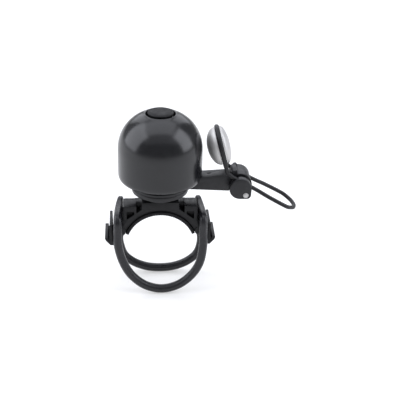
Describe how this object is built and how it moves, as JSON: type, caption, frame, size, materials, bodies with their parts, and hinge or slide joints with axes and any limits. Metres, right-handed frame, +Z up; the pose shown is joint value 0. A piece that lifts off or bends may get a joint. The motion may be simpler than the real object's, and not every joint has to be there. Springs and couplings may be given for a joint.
{
  "type": "bicycle bell",
  "caption": "Handlebar bell with a domed gong, a sprung wire lever carrying a lens-shaped hammer, and a saddle held on the bar by a stretched rubber ring",
  "frame": {"origin": "on the handlebar's axis, at the middle of the saddle's length", "axes": "+Y runs along the handlebar, +Z points up through the dome, +X points to the lever's side"},
  "size_m": [0.091, 0.0388, 0.09],
  "materials": {
    "gloss_black_paint": "gloss black paint on a spun steel or alloy dome",
    "moulded_black": "black glass-filled nylon, fine matt texture",
    "cap_black": "satin black moulded cap",
    "soft_black": "soft black isolating washer",
    "pad_rubber": "black rubber liner with fine ribs",
    "ring_rubber": "black rubber ring with a dusty satin skin",
    "coated_wire": "black coated spring wire",
    "polished_steel": "bright polished plate",
    "zinc_steel": "zinc-plated steel"
  },
  "bodies": {
    "bell": {"mount_saddle": "moulded_black", "saddle_pad": "pad_rubber", "rubber_ring": "ring_rubber", "base_body": "moulded_black", "base_screw": "zinc_steel", "striker_arm": "moulded_black", "centre_post": "zinc_steel", "inner_isolator": "soft_black", "dome": "gloss_black_paint", "outer_isolator": "soft_black", "screw_washer": "zinc_steel", "dome_screw": "zinc_steel", "dome_cap": "cap_black", "pivot_bush_front": "moulded_black", "pivot_bush_rear": "moulded_black", "torsion_spring": "zinc_steel"},
    "lever": {"lever_wire": "coated_wire", "hub_front_cheek": "moulded_black", "hub_rear_cover": "moulded_black", "pivot_pin": "zinc_steel", "stop_pin": "polished_steel", "hammer_inner_half": "polished_steel", "hammer_outer_half": "polished_steel", "hammer_core": "moulded_black"}
  },
  "joints": [
    {"name": "lever_swing", "type": "hinge", "parent": "bell", "child": "lever", "pos_m": [0.03705, 0.0015, 0.02875], "axis": [0, 1, 0], "range_deg": [-4.5, 32], "stiffness_Nm_per_rad": 0.06}
  ]
}
